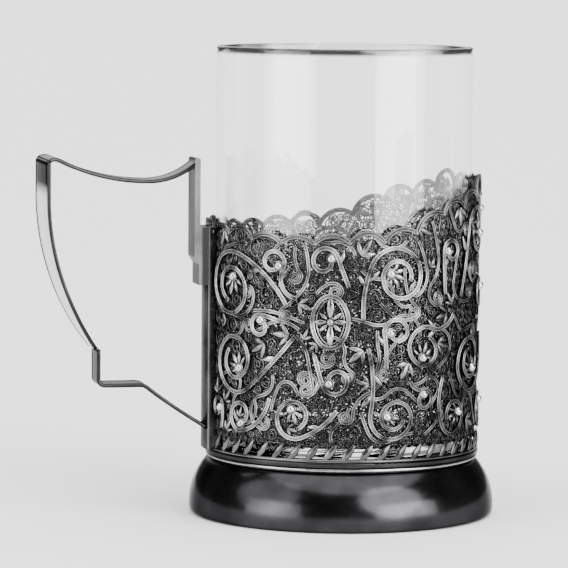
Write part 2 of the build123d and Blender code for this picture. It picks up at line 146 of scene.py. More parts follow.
def turned(name, profile, steps, closed=True):
    """A round piece spun about the glass's axis from a profile of radius and height."""
    shape = bmesh.new()
    corners = [shape.verts.new((radius, 0, height)) for radius, height in profile]
    pairs = list(zip(corners, corners[1:] + corners[:1])) if closed else list(zip(corners, corners[1:]))
    lines = [shape.edges.new(pair) for pair in pairs]
    bmesh.ops.spin(shape, geom=corners + lines, cent=(0, 0, 0), axis=(0, 0, 1), dvec=(0, 0, 0),
                   angle=2 * math.pi, steps=steps, use_merge=True, use_duplicate=False)
    return finish_piece(name, shape)


def smoothed(piece, levels):
    """Subdivision, the same when rendered as when worked on."""
    modifier = piece.modifiers.new("smoothing", "SUBSURF")
    modifier.levels = levels
    modifier.render_levels = levels
    return piece


recess_black = (0.030, 0.030, 0.032, 1)
# The next two values paint a height band of silver near black, with less shine at the side, as painted shade.
painted_shade_black = (0.055, 0.055, 0.057, 1)
painted_shade_flank = 0.15
# The next three values set a painted shade that darkens silver towards the crest side and low down.
towards_painted_shade = (1, 0, -0.6)
painted_shade_start = -0.042
painted_shade_end = 0.002


def silver(name, colour, roughness, grain, dark, worn=(0.0, 0.0), painted_shade_heights=(0.0, 0.0), edge=0.5,
           painted_shade_share=1.0):
    """Silver with a fine grain and patches of tarnish. It is rubbed bright from one radius to the
    other where worn gives two, and painted near black as painted shade from one height to the
    other where two painted shade heights are given. The lower its edge, the darker it looks from
    the side, as oxidised silver does. The painted shade share is how much of its colour is left
    where a painted shade darkens it towards the crest side and low down."""
    finish = bpy.data.materials.new(name)
    finish.use_nodes = True
    tree = finish.node_tree
    shader = tree.nodes["Principled BSDF"]
    shader.inputs["Metallic"].default_value = 1.0
    shader.inputs["Specular Tint"].default_value = (edge, edge, edge, 1)
    place = tree.nodes.new("ShaderNodeTexCoord")
    clouds = tree.nodes.new("ShaderNodeTexNoise")
    clouds.inputs["Scale"].default_value = grain / 10
    clouds.inputs["Detail"].default_value = 5.0
    tree.links.new(place.outputs["Object"], clouds.inputs["Vector"])
    tarnish = tree.nodes.new("ShaderNodeValToRGB")
    tarnish.color_ramp.elements[0].position = 0.34
    tarnish.color_ramp.elements[0].color = (*[value * dark for value in colour], 1)
    tarnish.color_ramp.elements[1].position = 0.62
    tarnish.color_ramp.elements[1].color = (*colour, 1)
    tree.links.new(clouds.outputs["Fac"], tarnish.inputs["Fac"])
    result = tarnish.outputs["Color"]
    if worn[0] != worn[1]:
        spread = tree.nodes.new("ShaderNodeVectorMath")
        spread.operation = "MULTIPLY"
        spread.inputs[1].default_value = (1, 1, 0)
        tree.links.new(place.outputs["Object"], spread.inputs[0])
        reach = tree.nodes.new("ShaderNodeVectorMath")
        reach.operation = "LENGTH"
        tree.links.new(spread.outputs["Vector"], reach.inputs[0])
        crest = tree.nodes.new("ShaderNodeMapRange")
        crest.interpolation_type = "SMOOTHSTEP"
        crest.inputs["From Min"].default_value = worn[0]
        crest.inputs["From Max"].default_value = worn[1]
        tree.links.new(reach.outputs["Value"], crest.inputs["Value"])
        rub = tree.nodes.new("ShaderNodeMix")
        rub.data_type = "RGBA"
        rub.inputs["A"].default_value = recess_black
        tree.links.new(crest.outputs["Result"], rub.inputs["Factor"])
        tree.links.new(result, rub.inputs["B"])
        result = rub.outputs["Result"]
    # Painted shade: silver is painted near black between two heights, and its shine at the side drops with
    # it.
    if painted_shade_heights[0] != painted_shade_heights[1]:
        parts = tree.nodes.new("ShaderNodeSeparateXYZ")
        tree.links.new(place.outputs["Object"], parts.inputs["Vector"])
        shade = tree.nodes.new("ShaderNodeMapRange")
        shade.interpolation_type = "SMOOTHSTEP"
        shade.inputs["From Min"].default_value = painted_shade_heights[0]
        shade.inputs["From Max"].default_value = painted_shade_heights[1]
        tree.links.new(parts.outputs["Z"], shade.inputs["Value"])
        painted_shade_mix = tree.nodes.new("ShaderNodeMix")
        painted_shade_mix.data_type = "RGBA"
        painted_shade_mix.inputs["B"].default_value = painted_shade_black
        tree.links.new(shade.outputs["Result"], painted_shade_mix.inputs["Factor"])
        tree.links.new(result, painted_shade_mix.inputs["A"])
        result = painted_shade_mix.outputs["Result"]
        flank = tree.nodes.new("ShaderNodeMapRange")
        flank.inputs["To Min"].default_value = edge
        flank.inputs["To Max"].default_value = painted_shade_flank
        tree.links.new(shade.outputs["Result"], flank.inputs["Value"])
        tree.links.new(flank.outputs["Result"], shader.inputs["Specular Tint"])
    # Painted shade: the colour is darkened towards the crest side and low down.
    if painted_shade_share < 1.0:
        lean = tree.nodes.new("ShaderNodeVectorMath")
        lean.operation = "DOT_PRODUCT"
        lean.inputs[1].default_value = towards_painted_shade
        tree.links.new(place.outputs["Object"], lean.inputs[0])
        painted_shade_ramp = tree.nodes.new("ShaderNodeMapRange")
        painted_shade_ramp.interpolation_type = "SMOOTHSTEP"
        painted_shade_ramp.inputs["From Min"].default_value = painted_shade_start
        painted_shade_ramp.inputs["From Max"].default_value = painted_shade_end
        painted_shade_ramp.inputs["To Min"].default_value = 1.0
        painted_shade_ramp.inputs["To Max"].default_value = painted_shade_share
        tree.links.new(lean.outputs["Value"], painted_shade_ramp.inputs["Value"])
        painted_dimming = tree.nodes.new("ShaderNodeMix")
        painted_dimming.data_type = "RGBA"
        painted_dimming.blend_type = "MULTIPLY"
        painted_dimming.inputs["Factor"].default_value = 1.0
        tree.links.new(result, painted_dimming.inputs["A"])
        tree.links.new(painted_shade_ramp.outputs["Result"], painted_dimming.inputs["B"])
        result = painted_dimming.outputs["Result"]
    tree.links.new(result, shader.inputs["Base Color"])
    fine = tree.nodes.new("ShaderNodeTexNoise")
    fine.inputs["Scale"].default_value = grain
    fine.inputs["Detail"].default_value = 3.0
    tree.links.new(place.outputs["Object"], fine.inputs["Vector"])
    gloss = tree.nodes.new("ShaderNodeMapRange")
    gloss.inputs["To Min"].default_value = roughness * 0.7
    gloss.inputs["To Max"].default_value = roughness * 1.4
    tree.links.new(fine.outputs["Fac"], gloss.inputs["Value"])
    tree.links.new(gloss.outputs["Result"], shader.inputs["Roughness"])
    bump = tree.nodes.new("ShaderNodeBump")
    bump.inputs["Strength"].default_value = 0.12
    bump.inputs["Distance"].default_value = 0.0001
    tree.links.new(fine.outputs["Fac"], bump.inputs["Height"])
    tree.links.new(bump.outputs["Normal"], shader.inputs["Normal"])
    return finish


# The foot's near-black colour is partly a painted dark reflection of the room.
foot_silver = silver("dark_polished_silver", (0.037, 0.037, 0.039), 0.17, 900.0, 0.5, edge=0.45)
foot = smoothed(turned("foot_bell", foot_profile, 64), 2)
foot.data.materials.append(foot_silver)
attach(foot, "holder")
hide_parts("foot_shell")

# Floor disc and lower hoop: plain turned silver, soldered on the foot's upper edge. They carry
# the glass and the wall, and are hidden but for their edges.
for name in ("floor_plate", "lower_hoop"):
    nodes[name].data.materials.clear()
    nodes[name].data.materials.append(foot_silver)

# Bead: a bright half-round wire soldered round the floor disc's edge, nicked with a
# milling tool so that it glitters as a fine row of grains.
bead_steps = 200
nick_share = 0.9955
bead_profile = [
    (0.03525 + 0.00050 * math.cos(math.radians(turn)), 0.0156 + 0.00052 * math.sin(math.radians(turn)))
    for turn in range(-90, 91, 30)
]
bead = turned("milled_bead", [(0.0351, 0.0151)] + bead_profile + [(0.0351, 0.0161)], bead_steps)
for corner in bead.data.vertices:
    angle = math.atan2(corner.co.y, corner.co.x)
    if round(angle / (2 * math.pi / bead_steps)) % 2:
        corner.co.x *= nick_share
        corner.co.y *= nick_share
bead_silver = silver("milled_bead_silver", (0.34, 0.34, 0.345), 0.10, 1400.0, 0.6)
bead.data.materials.append(bead_silver)
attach(bead, "holder")
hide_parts("foot_bead")

# Wall drawings: every wire ornament is drawn flat, with x along the wall and y up, and then
# bent round the wall. Its depth is the distance from the glass's axis.
wall_radius = 0.0362


def bend_round(verts, middle):
    """Bend flat work round the wall, so that its own x = 0 stands at an angle from the handle."""
    for vert in verts:
        angle = math.radians(middle) + math.asin(vert.co.x / wall_radius)
        height = vert.co.y
        depth = vert.co.z
        vert.co = (-math.cos(angle) * depth, -math.sin(angle) * depth, height)


def add_bent(shape, drawing, middle):
    """Bend a small flat drawing round the wall and add it to a larger piece."""
    bend_round(drawing.verts, middle)
    sheet = bpy.data.meshes.new("drawing")
    drawing.to_mesh(sheet)
    drawing.free()
    shape.from_mesh(sheet)
    bpy.data.meshes.remove(sheet)


def flat_place(angle, height, middle):
    """Where a place on the wall lies in a flat drawing."""
    return Vector((wall_radius * math.sin(math.radians(angle - middle)), height * 0.001, 0))


def wire_end(shape, place, heading, strands):
    """The cut end of wires lying side by side: offset, half width, half thickness, depth and sides."""
    across = Vector((-heading.y, heading.x, 0))
    geometry = []
    for offset, width, thickness, depth, sides in strands:
        frame_of_end = Matrix((across, Vector((0, 0, 1)), heading)).transposed().to_4x4()
        frame_of_end.translation = Vector((place.x, place.y, depth)) + across * offset
        squash = Matrix.Diagonal((width, thickness, 1, 1))
        ring = bmesh.ops.create_circle(shape, segments=sides, radius=1.0,
                                       matrix=frame_of_end @ squash)["verts"]
        geometry += ring + list({edge for vert in ring for edge in vert.link_edges})
    return geometry


def close_end(shape, geometry):
    """Cap the open ends of the wires."""
    edges = [item for item in geometry if isinstance(item, bmesh.types.BMEdge)]
    bmesh.ops.edgeloop_fill(shape, edges=edges)


def arc_to(shape, geometry, place, heading, radius, angle, step):
    """Carry the wires on round an arc, left for a positive angle; gives the new end."""
    side = 1 if angle > 0 else -1
    centre = place + Vector((-heading.y, heading.x, 0)) * radius * side
    steps = max(2, math.ceil(abs(angle) * radius / step))
    end = bmesh.ops.spin(shape, geom=geometry, cent=centre, axis=(0, 0, 1), dvec=(0, 0, 0), angle=angle,
                         steps=steps, use_duplicate=False)["geom_last"]
    turn = Matrix.Rotation(angle, 3, "Z")
    return end, centre + turn @ (place - centre), turn @ heading


def tangent_arc(start, heading, goal):
    """The radius and turn of the arc that leaves start along heading and ends at goal."""
    chord = goal - start
    left = Vector((-heading.y, heading.x, 0))
    sweep = 2 * math.atan2(chord.dot(left), chord.dot(heading))
    return abs(chord.length / (2 * math.sin(sweep / 2))), sweep


# Ground net: a dense lace of small rings of blackened wire, two layers deep, which closes the
# wall behind the scrolls. It is made in six staves on each side of the handle's plane.
seam_half = 7.2
stave_angle = 28.8
lobe_angle = 14.4
border_top = 0.0223
crown_low = 0.0740
crown_rise = 0.0158
valley_shares = (0.08, 0.10, 0.04, 0.0, 0.0, 0.02, 0.04, 0.17, 0.46, 0.54, 0.64, 0.69, 0.74)
peak_shares = (0.22, 0.22, 0.13, 0.11, 0.14, 0.18, 0.24, 0.48, 0.68, 0.79, 1.0, 0.97)


def crown_level(angle):
    """The height of the wall's scalloped edge at an angle from the handle."""
    place = (angle - seam_half) / lobe_angle
    index = min(max(int(place), 0), len(peak_shares) - 1)
    share = place - index
    ends = valley_shares[index] * (1 - share) + valley_shares[index + 1] * share
    middle = (valley_shares[index] + valley_shares[index + 1]) / 2
    return crown_low + crown_rise * (ends + (peak_shares[index] - middle) * 4 * share * (1 - share))


def wire_ring(shape, place, radius, wire, sides, steps):
    """A ring of wire lying flat in a wall drawing."""
    upright = Matrix.Translation(place + Vector((radius, 0, 0))) @ Matrix.Rotation(math.pi / 2, 4, "X")
    section = bmesh.ops.create_circle(shape, segments=sides, radius=wire, matrix=upright)["verts"]
    lines = list({edge for vert in section for edge in vert.link_edges})
    bmesh.ops.spin(shape, geom=section + lines, cent=place, axis=(0, 0, 1), dvec=(0, 0, 0),
                   angle=2 * math.pi, steps=steps, use_merge=True, use_duplicate=False)


def mirrored_twin(piece, name):
    """The same work on the other side of the handle's plane."""
    shape = bmesh.new()
    shape.from_mesh(piece.data)
    bmesh.ops.transform(shape, matrix=Matrix.Scale(-1, 4, (0, 1, 0)), verts=shape.verts)
    twin = finish_piece(name, shape)
    for finish in piece.data.materials:
        twin.data.materials.append(finish)
    return twin


ring_pitch = 0.0021
row_share = 0.87
net_wire = 0.00026
inner_wire = 0.00021
inner_share = 0.42
# The net is painted near black below a height and darker towards the crest side and low down, both as painted
# shade.
net_silver = silver("blackened_silver_with_painted_shade", (0.12, 0.12, 0.123), 0.34, 1500.0, 0.5, painted_shade_heights=(0.074, 0.064),
                    painted_shade_share=0.6)
uneven = random.Random(11)
for number in range(6):
    middle = seam_half + (number + 0.5) * stave_angle
    shape = bmesh.new()
    row = 0
    height = border_top
    while height < crown_low + crown_rise:
        columns = round(wall_radius * math.radians(stave_angle) / ring_pitch)
        for column in range(columns):
            across = (column + 0.25 + 0.5 * (row % 2) + uneven.uniform(-0.17, 0.17)) / columns
            angle = middle + (across - 0.5) * stave_angle
            radius = uneven.uniform(0.0009, 0.0014)
            if height + radius + 0.0008 > crown_level(angle):
                continue
            place = flat_place(angle, height * 1000, middle)
            place.z = 0.0343 + 0.0005 * ((row + column) % 2)
            ring = bmesh.new()
            wire_ring(ring, place, radius, net_wire, 3, 12)
            wire_ring(ring, place, radius * inner_share, inner_wire, 3, 8)
            add_bent(shape, ring, middle)
        row += 1
        height += ring_pitch * row_share
    net = finish_piece(f"net_front_{number + 1}", shape)
    net.data.materials.append(net_silver)
    for piece, side in ((net, "front"), (mirrored_twin(net, f"net_back_{number + 1}"), "back")):
        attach(piece, "holder")
        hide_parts(f"ground_stave_{side}_{number + 1}")

# Scrolls: fine wires soldered side by side on a strip on edge, coiled from a leafy stem to a loop
# with a palmette or a small eye. Each has its middle, radius, where the stem joins the rim, sense,
# half turns, the stem's tip, and its leaves: how far along the stem, which side and how long.
shrink_share = 0.74
scroll_step = 0.0006
palmette_leans = (-72, -36, 0, 36, 72)
leaf_lean = 38
leaf_depth = 0.03568
leaf_rise = 0.00042
leaf_width_share = 0.19
scrolls = {
    "upper_volute": [((24.0, 62.4), 8.0, 75, 1, 4, (53.0, 57.4), [(0.55, 1, 4.6)])],
    "lower_volute": [((27.5, 41.6), 7.4, -50, -1, 4, (57.0, 49.8), [(0.40, -1, 4.6)])],
    "leaf_curl": [((47.3, 68.2), 3.0, -30, 1, 2, (57.6, 59.4), [(0.70, -1, 4.3)])],
    "rim_curl": [((69.5, 69.2), 3.2, 20, 1, 2, (79.0, 62.4), [(0.75, -1, 3.4)])],
    "far_volute": [((98.5, 65.4), 7.0, 160, -1, 4, (85.0, 54.0), [(0.70, -1, 4.6), (0.60, 1, 3.6)])],
    "middle_curls": [
        ((73.5, 38.4), 3.2, 200, 1, 2, (65.2, 45.0), [(0.75, -1, 4.0)]),
        ((40.5, 52.2), 2.6, 80, 1, 2, (50.0, 53.4), []),
        ((98.8, 51.0), 3.2, 190, -1, 2, (94.6, 41.5), [(0.70, 1, 3.2)]),
    ],
    "ring_volute": [((113.0, 47.0), 5.0, 70, 1, 3, (129.0, 55.0), [(0.80, 1, 4.0), (0.85, -1, 3.4)])],
    "bottom_curl": [((57.0, 28.3), 4.8, -70, -1, 3, (74.5, 31.0), [(0.50, -1, 3.6)])],
    "double_volute": [
        ((97.0, 29.2), 5.6, 170, 1, 4, (87.0, 47.0), [(0.70, -1, 4.6), (0.40, 1, 4.0)]),
        ((112.2, 33.6), 2.4, 100, -1, 2, (105.5, 38.2), []),
    ],
    "corner_curls": [
        ((30.0, 28.0), 3.6, -80, -1, 2, (45.5, 33.5), [(0.55, -1, 3.2)]),
        ((13.8, 29.5), 2.4, 0, 1, 2, (17.0, 24.2), []),
    ],
    "crest_volute": [
        ((151.0, 75.2), 6.2, 170, -1, 3, (134.0, 59.0), [(0.65, -1, 4.8), (0.65, 1, 4.8)]),
        ((172.0, 80.4), 2.8, 180, -1, 2, (168.0, 71.0), []),
        ((159.0, 59.0), 3.6, 60, 1, 2, (169.5, 57.0), []),
    ],
    "side_volute": [
        ((144.0, 41.2), 7.0, -60, -1, 4, (168.5, 48.0), [(0.35, -1, 3.6), (0.75, -1, 4.0)]),
        ((127.0, 71.0), 2.8, 180, -1, 2, (123.5, 60.0), [(0.60, -1, 3.8)]),
    ],
    "side_curls": [
        ((128.5, 28.3), 4.6, 200, 1, 3, (122.5, 38.8), [(0.60, 1, 3.6)]),
        ((160.0, 28.2), 4.4, -70, -1, 3, (175.0, 33.0), [(0.55, -1, 3.4)]),
    ],
}
strip_and_wires = (
    (0.0, 0.00024, 0.00035, 0.03530, 4),
    (0.0, 0.00018, 0.00020, 0.03576, 5),
    (0.00038, 0.00021, 0.00024, 0.03590, 7),
    (-0.00038, 0.00021, 0.00024, 0.03590, 7),
)


def coil(shape, eye, radius, join, sense, half_turns, tip, leaves):
    """One scroll, drawn flat from its stem's tip inwards; gives the places of its eye and leaves."""
    middle = (eye[0] + tip[0]) / 2
    centre = flat_place(*eye, middle)
    radius *= 0.001
    spoke = Matrix.Rotation(math.radians(join), 3, "Z") @ Vector((1, 0, 0))
    heading = Vector((-spoke.y, spoke.x, 0)) * sense
    start = centre + spoke * radius
    stem_tip = flat_place(*tip, middle)
    stem_radius, sweep = tangent_arc(start, -heading, stem_tip)
    outward = Matrix.Rotation(sweep, 3, "Z") @ -heading
    place = stem_tip
    heading = -outward
    first_end = wire_end(shape, place, heading, strip_and_wires)
    close_end(shape, first_end)
    springs = []
    for share, side, length in leaves:
        part_way = Matrix.Rotation(-sweep * share, 3, "Z")
        hub = stem_tip + Vector((-heading.y, heading.x, 0)) * stem_radius * (1 if sweep < 0 else -1)
        springs.append((hub + part_way @ (stem_tip - hub), part_way @ heading, side, length * 0.001))
    end, place, heading = arc_to(shape, first_end, place, heading, stem_radius, -sweep, scroll_step)
    open_turns = max(2, half_turns - 1)
    for turn in range(open_turns):
        end, place, heading = arc_to(shape, end, place, heading, radius * shrink_share**turn,
                                     sense * math.pi, scroll_step)
    close_end(shape, end)
    for turn in range(open_turns, half_turns):
        small = radius * shrink_share**turn
        back = Vector((heading.y, -heading.x, 0)) * sense
        place = place - back * small * 2
        heading = -heading
        for lean in palmette_leans:
            spoke = Matrix.Rotation(math.radians(lean), 3, "Z") @ back
            leaf_blade(shape, place + spoke * 0.0009, spoke, 0, small * (1.3 - abs(lean) / 180))
    return middle, place, springs


def leaf_blade(shape, base, heading, side, length):
    """A small pointed leaf with a raised middle, springing from a stem."""
    lean = Matrix.Rotation(math.radians(side * leaf_lean), 3, "Z") @ heading
    blade = bmesh.ops.create_uvsphere(shape, u_segments=8, v_segments=8, radius=1.0)["verts"]
    for vert in blade:
        along, across, up = vert.co.z, vert.co.x, vert.co.y
        fullness = (1 - abs(along)) ** 0.35
        vert.co.x = (along + 1) / 2 * length
        vert.co.y = across * fullness * length * leaf_width_share
        vert.co.z = leaf_depth + up * fullness * leaf_rise
    turn = Matrix.Rotation(math.atan2(lean.y, lean.x), 4, "Z")
    bmesh.ops.transform(shape, matrix=Matrix.Translation(base) @ turn, verts=blade)


# Painted shade darkens these wires towards the crest side and low down.
wire_silver = silver("oxidised_wire_silver", (0.46, 0.46, 0.46), 0.18, 2200.0, 0.12, (0.03545, 0.03600),
                     painted_shade_share=0.35)
scroll_eyes = []
laid = []
for name, members in scrolls.items():
    shape = bmesh.new()
    for member in members:
        drawing = bmesh.new()
        middle, place, springs = coil(drawing, *member)
        for spring in springs:
            leaf_blade(drawing, *spring)
        wire_ring(drawing, Vector((place.x, place.y, 0.0358)), 0.00115, 0.00022, 6, 20)
        add_bent(shape, drawing, middle)
        scroll_eyes.append((middle, place))
    laid += [(vert.co.copy(), name) for vert in shape.verts]
    work = finish_piece(name + "_front_wires", shape)
    work.data.materials.append(wire_silver)
    for piece, side in ((work, "front"), (mirrored_twin(work, name + "_back_wires"), "back")):
        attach(piece, "holder")
        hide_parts(f"{name}_{side}")

# Tendrils: longer, lighter pairs of wire that sweep between the scrolls and pass under them,
# most of them ending in a small curl. Each has where it springs and which way, the places that
# it bends to in turn, and the side that its curl turns to.
tendrils = [
    ((60.0, 74.2), -70, [(62.3, 67.5), (58.5, 60.6), (51.0, 56.6)], 1),
    ((46.0, 70.6), 60, [(51.0, 73.9), (56.5, 71.6), (58.8, 66.0)], -1),
    ((12.0, 66.8), 60, [(21.0, 71.6), (33.0, 72.6)], 0),
    ((12.0, 55.0), -5, [(27.0, 54.0), (36.5, 60.5)], 1),
    ((36.0, 55.6), 8, [(47.0, 55.6), (60.0, 53.2)], 0),
    ((35.5, 49.6), 25, [(44.0, 52.3), (58.5, 51.4)], 0),
    ((56.8, 50.0), -38, [(62.2, 44.4), (64.6, 36.4)], -1),
    ((12.0, 50.5), -12, [(22.0, 48.6), (31.0, 51.8)], -1),
    ((46.5, 39.6), -70, [(41.4, 34.0), (42.4, 25.4)], 1),
    ((14.0, 37.0), 30, [(22.0, 39.6), (27.5, 33.9), (37.0, 33.2)], 0),
    ((46.0, 30.0), 80, [(49.5, 36.6), (57.0, 36.4), (60.5, 40.5)], 1),
    ((79.4, 31.4), -120, [(73.4, 26.4), (72.6, 22.6)], 0),
    ((69.6, 49.6), 20, [(74.4, 49.4), (77.4, 45.2), (80.2, 41.0)], -1),
    ((64.8, 45.4), -80, [(67.6, 42.6), (72.4, 42.9)], 1),
    ((65.6, 60.6), 55, [(70.2, 63.2), (76.0, 62.2)], -1),
    ((66.4, 74.6), -35, [(72.5, 73.9), (81.5, 70.4)], 0),
    ((78.0, 71.8), 50, [(82.0, 75.4), (90.0, 75.2), (104.0, 74.6)], 0),
    ((84.0, 67.0), -55, [(91.0, 64.6), (97.5, 60.8), (106.5, 57.8)], 0),
    ((102.8, 67.5), -95, [(103.6, 61.8), (108.6, 57.2)], -1),
    ((92.0, 58.4), -50, [(97.0, 55.4), (107.5, 54.4)], 0),
    ((79.5, 54.6), -10, [(88.0, 53.2), (98.0, 54.2), (110.0, 49.6)], 0),
    ((102.6, 50.6), -140, [(96.4, 46.4), (92.4, 39.4), (87.8, 35.6), (81.0, 29.4)], -1),
    ((91.0, 51.5), -95, [(91.6, 46.0), (90.4, 41.2)], 1),
    ((88.6, 34.2), -20, [(95.5, 35.2), (104.6, 35.4), (112.0, 31.6)], 0),
    ((104.0, 38.0), -30, [(112.5, 38.4), (118.6, 33.8), (119.2, 27.4)], 1),
    ((84.4, 30.6), -75, [(87.4, 25.4), (97.0, 23.2), (108.0, 24.9)], 0),
    ((112.6, 24.2), 30, [(118.6, 27.0), (121.4, 31.6)], 0),
    ((117.4, 52.4), -15, [(124.4, 50.4), (125.4, 44.0), (119.0, 41.0)], -1),
    ((109.0, 74.0), -60, [(113.4, 66.4), (109.6, 60.4)], -1),
    ((116.0, 79.0), -70, [(119.6, 70.4), (116.0, 63.0), (118.4, 57.4)], 1),
    ((124.4, 83.6), -60, [(129.6, 77.4), (137.0, 77.0)], -1),
    ((131.5, 69.4), -100, [(129.4, 63.4), (133.0, 58.4), (143.0, 58.2)], 1),
    ((140.4, 85.6), -40, [(148.0, 84.6), (160.0, 79.4)], -1),
    ((139.0, 68.4), -60, [(144.0, 63.6), (152.4, 65.6)], 1),
    ((126.0, 56.0), -30, [(133.0, 51.6), (138.0, 50.2), (147.5, 51.0)], -1),
    ((126.4, 40.0), -60, [(130.0, 35.4), (138.4, 33.2)], 1),
    ((134.0, 24.4), 70, [(137.6, 31.4), (147.0, 31.6), (153.0, 24.6)], 0),
    ((156.0, 85.0), -50, [(163.0, 76.8), (164.6, 66.8), (175.0, 62.6)], 0),
    ((160.6, 71.6), -80, [(158.0, 66.4), (148.0, 66.8)], 1),
    ((172.4, 70.0), -60, [(177.0, 65.4), (179.6, 62.2)], 0),
    ((153.0, 52.8), -10, [(161.0, 52.6), (168.4, 57.0)], 1),
    ((158.0, 36.0), 60, [(163.4, 40.8), (171.0, 41.6), (176.0, 45.4)], -1),
    ((168.0, 24.4), 50, [(172.4, 28.4), (178.4, 30.0)], 0),
]
tendril_wires = (
    (0.0, 0.00014, 0.00018, 0.03547, 4),
    (0.00029, 0.00018, 0.00019, 0.03559, 6),
    (-0.00029, 0.00018, 0.00019, 0.03559, 6),
)


def sweep_of_wires(shape, start, direction, goals, curl):
    """A tendril from its root through its bends; gives the middle angle of the drawing."""
    middle = (start[0] + goals[-1][0]) / 2
    place = flat_place(*start, middle)
    heading = Matrix.Rotation(math.radians(direction), 3, "Z") @ Vector((1, 0, 0))
    end = wire_end(shape, place, heading, tendril_wires)
    close_end(shape, end)
    for goal in goals:
        radius, turn = tangent_arc(place, heading, flat_place(*goal, middle))
        end, place, heading = arc_to(shape, end, place, heading, radius, turn, 0.0007)
    if curl:
        for radius in (0.0016, 0.0011, 0.0007):
            end, place, heading = arc_to(shape, end, place, heading, radius, curl * math.pi, scroll_step)
    close_end(shape, end)
    return middle


# Painted shade darkens the tendrils towards the crest side and low down.
tendril_silver = silver("light_wire_silver", (0.38, 0.38, 0.38), 0.20, 2200.0, 0.12, (0.03546, 0.03577),
                        painted_shade_share=0.35)
shapes = [bmesh.new() for number in range(3)]
for tendril in tendrils:
    drawing = bmesh.new()
    middle = sweep_of_wires(drawing, *tendril)
    add_bent(shapes[min(int(middle / 60), 2)], drawing, middle)
for number, shape in enumerate(shapes):
    laid += [(vert.co.copy(), "tendrils") for vert in shape.verts]
    work = finish_piece(f"tendrils_front_{number + 1}", shape)
    work.data.materials.append(tendril_silver)
    for piece in (work, mirrored_twin(work, f"tendrils_back_{number + 1}")):
        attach(piece, "holder")

# Cartouches: an oval frame of the same wires round a four-petalled rosette with a grain in the
# middle, one on each side of the wall and one under the crest.
oval_half_width = 0.00465
oval_half_height = 0.00665
oval_tip_radius = 0.0034
cartouche_level = 53.6
frame_wires = strip_and_wires + ((0.00105, 0.00017, 0.00018, 0.03570, 6),)


def oval_frame(shape, centre):
    """A four-centred oval of wires, run round from its right side."""
    rise = oval_half_height - oval_tip_radius
    side_radius = rise**2 + oval_half_width**2 - oval_tip_radius**2
    side_radius /= 2 * (oval_half_width - oval_tip_radius)
    side_turn = 2 * math.atan2(rise, side_radius - oval_half_width)
    place = centre + Vector((oval_half_width, 0, 0))
    heading = Vector((0, 1, 0))
    end = wire_end(shape, place, heading, frame_wires)
    for radius, turn in ((side_radius, side_turn / 2), (oval_tip_radius, math.pi - side_turn),
                         (side_radius, side_turn), (oval_tip_radius, math.pi - side_turn),
                         (side_radius, side_turn / 2)):
        end, place, heading = arc_to(shape, end, place, heading, radius, turn, scroll_step)


for name, angle in (("cartouche_front", 71.5), ("cartouche_back", -71.5), ("cartouche_crest", 180.0)):
    shape = bmesh.new()
    centre = Vector((0, cartouche_level * 0.001, 0))
    oval_frame(shape, centre)
    for quarter, reach in ((0, 0.0040), (90, 0.0060), (180, 0.0040), (270, 0.0060)):
        spoke = Matrix.Rotation(math.radians(quarter), 3, "Z") @ Vector((1, 0, 0))
        leaf_blade(shape, centre + spoke * 0.0006, spoke, 0, reach)
    for corner in (40, 140, 220, 320):
        spoke = Matrix.Rotation(math.radians(corner), 3, "Z") @ Vector((1, 0, 0))
        leaf_blade(shape, centre + spoke * 0.0008, spoke, 0, 0.0030)
    ball = bmesh.ops.create_icosphere(shape, subdivisions=3, radius=0.00105)["verts"]
    bmesh.ops.translate(shape, verts=ball, vec=centre + Vector((0, 0, 0.0358)))
    bend_round(shape.verts, angle)
    oval = finish_piece(name + "_oval", shape)
    oval.data.materials.append(wire_silver)
    laid += [(vert.co.copy(), name) for vert in oval.data.vertices]
    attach(oval, "holder")
    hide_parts(name)

# Filling: every opening between the scrolls is packed with small coils of fine wire and with
# sprigs of three leaves, each as large as the opening leaves room for.
tree = KDTree(len(laid))
for index, (corner, name) in enumerate(laid):
    turn = math.atan2(-corner.y, -corner.x)
    tree.insert((turn * wall_radius, corner.z, 0), index)
tree.balance()
fill_low = border_top + 0.0004
fill_pitch = 0.0008
largest_coil = 0.0026
smallest_coil = 0.00085


def room_at(angle, height):
    """How large a coil can lie at a place on the wall."""
    span = wall_radius * math.radians(angle)
    gap = tree.find((span, height, 0))[2] - 0.0001
    edges = min(height - fill_low, crown_level(angle) - 0.0011 - height,
                wall_radius * math.radians(angle - 8.5))
    return min(gap, edges, largest_coil)


chance = random.Random(7)
spots = []
height = fill_low + smallest_coil
while height < crown_low + crown_rise:
    angle = 9.0
    while angle < 179.5:
        where = angle + chance.uniform(-0.5, 0.5)
        level = height + chance.uniform(-0.0003, 0.0003)
        spots.append((room_at(where, level), where, level))
        angle += math.degrees(fill_pitch / wall_radius)
    height += fill_pitch
spots = sorted((spot for spot in spots if spot[0] > smallest_coil), reverse=True)
coils = []
for room, angle, height in spots:
    for size, other_angle, other_height in coils:
        apart = math.hypot(wall_radius * math.radians(angle - other_angle), height - other_height)
        room = min(room, apart - size + 0.0002)
        if room < smallest_coil:
            break
    if room >= smallest_coil:
        coils.append((room, angle, height))

fine_wire = ((0.0, 0.00021, 0.00024, 0.0352, 3),)
